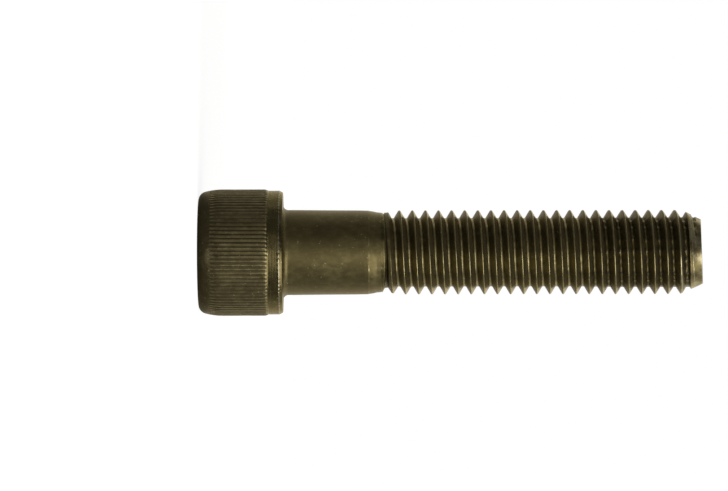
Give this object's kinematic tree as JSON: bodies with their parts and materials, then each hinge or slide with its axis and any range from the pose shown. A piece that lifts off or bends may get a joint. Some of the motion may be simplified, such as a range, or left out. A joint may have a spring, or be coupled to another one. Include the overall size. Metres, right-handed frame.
{
  "type": "hex socket cap screw",
  "caption": "Hex socket cap screw with a straight-knurled cylindrical head, a short plain shank and a long rolled right-hand thread that ends in a chamfered point.",
  "frame": {"origin": "centre of the head's face, on the screw's axis, where the screw stands on its head", "axes": "+Z along the screw's axis from the head to the point; +X through the middle of a flat of the hexagon, +Y through a corner of it"},
  "size_m": [0.0188, 0.0188, 0.075],
  "materials": {
    "black_oxide_steel": "black oxide over forged and rolled steel, oiled, satin, worn bright on the ridges, crests and edges"
  },
  "bodies": {
    "root": {"cap_screw": "black_oxide_steel"}
  },
  "joints": []
}
